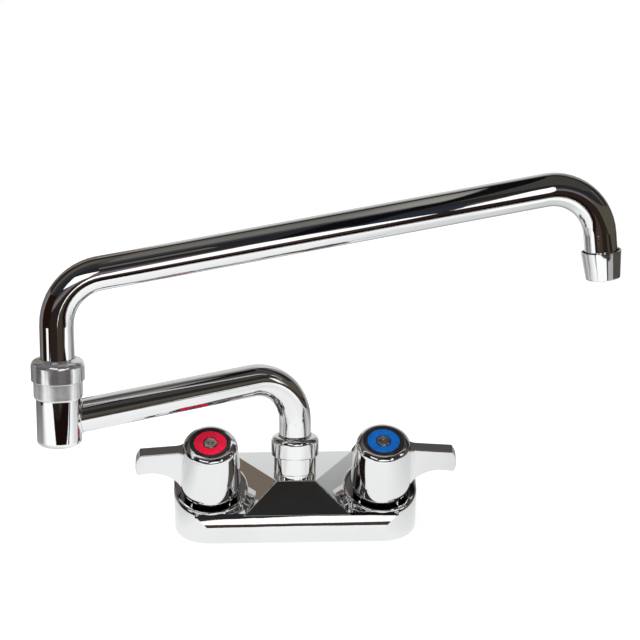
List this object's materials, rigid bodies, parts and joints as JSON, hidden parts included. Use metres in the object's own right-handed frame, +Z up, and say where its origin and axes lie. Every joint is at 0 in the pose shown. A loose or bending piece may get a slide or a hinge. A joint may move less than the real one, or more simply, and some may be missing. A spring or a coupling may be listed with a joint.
{
  "type": "splash-mount faucet",
  "caption": "Splash-mount two-handle faucet with lever handles and a double-jointed swing spout, chromed.",
  "frame": {"origin": "centre of the wall face at the height of the inlets", "axes": "+X to the user's right, +Y into the wall, +Z up"},
  "size_m": [0.334, 0.178, 0.2227],
  "materials": {
    "polished_chrome": "mirror chrome plate on brass",
    "handle_chrome": "mirror chrome plate on a die casting",
    "red_index": "gloss, moulded through",
    "blue_index": "gloss, moulded through",
    "screw_steel": "plain stainless steel",
    "plain_brass": "machined, unplated",
    "zinc_steel": "zinc plated",
    "black_rubber": "matt rubber",
    "white_acetal": "natural acetal",
    "grey_plastic": "moulded",
    "white_ceramic": "lapped alumina ceramic"
  },
  "bodies": {
    "wall_body": {"faucet_body": "polished_chrome", "hot_inlet_shank": "plain_brass", "cold_inlet_shank": "plain_brass", "shank_gaskets": "black_rubber", "shank_washers": "zinc_steel", "shank_locknuts": "plain_brass", "spout_socket": "polished_chrome", "spout_nut": "polished_chrome", "spout_bushing": "white_acetal", "spout_thrust_washer": "white_acetal", "hot_cartridge_sleeve": "plain_brass", "cold_cartridge_sleeve": "plain_brass", "cartridge_o_rings": "black_rubber", "seat_seals": "black_rubber", "hot_fixed_disc": "white_ceramic", "cold_fixed_disc": "white_ceramic"},
    "hot_valve": {"hot_handle": "handle_chrome", "hot_index_ring": "red_index", "hot_handle_screw": "screw_steel", "hot_stem": "plain_brass", "hot_stem_o_ring": "black_rubber", "hot_moving_disc": "white_ceramic"},
    "cold_valve": {"cold_handle": "handle_chrome", "cold_index_ring": "blue_index", "cold_handle_screw": "screw_steel", "cold_stem": "plain_brass", "cold_stem_o_ring": "black_rubber", "cold_moving_disc": "white_ceramic"},
    "lower_spout": {"lower_spout_tube": "polished_chrome", "lower_swivel_sleeve": "plain_brass", "lower_swivel_o_rings": "black_rubber", "joint_socket": "polished_chrome", "joint_nut": "polished_chrome", "joint_bushing": "white_acetal", "joint_thrust_washer": "white_acetal"},
    "upper_spout": {"upper_spout_tube": "polished_chrome", "upper_swivel_sleeve": "plain_brass", "upper_swivel_o_rings": "black_rubber", "aerator_shell": "polished_chrome", "aerator_washer": "black_rubber", "aerator_insert": "grey_plastic"}
  },
  "joints": [
    {"name": "lower_spout_swing", "type": "hinge", "parent": "wall_body", "child": "lower_spout", "pos_m": [0, -0.046, 0.0797], "axis": [0, 0, 1], "continuous": true},
    {"name": "upper_spout_swing", "type": "hinge", "parent": "lower_spout", "child": "upper_spout", "pos_m": [-0.13418, -0.11825, 0.07171], "axis": [0, 0, 1], "continuous": true},
    {"name": "hot_lever_turn", "type": "hinge", "parent": "wall_body", "child": "hot_valve", "pos_m": [-0.0508, -0.0573, 0.0149], "axis": [0, -0.5, 0.866], "range_deg": [0, 90]},
    {"name": "cold_lever_turn", "type": "hinge", "parent": "wall_body", "child": "cold_valve", "pos_m": [0.0508, -0.0573, 0.0149], "axis": [0, -0.5, 0.866], "range_deg": [-90, 0]}
  ]
}
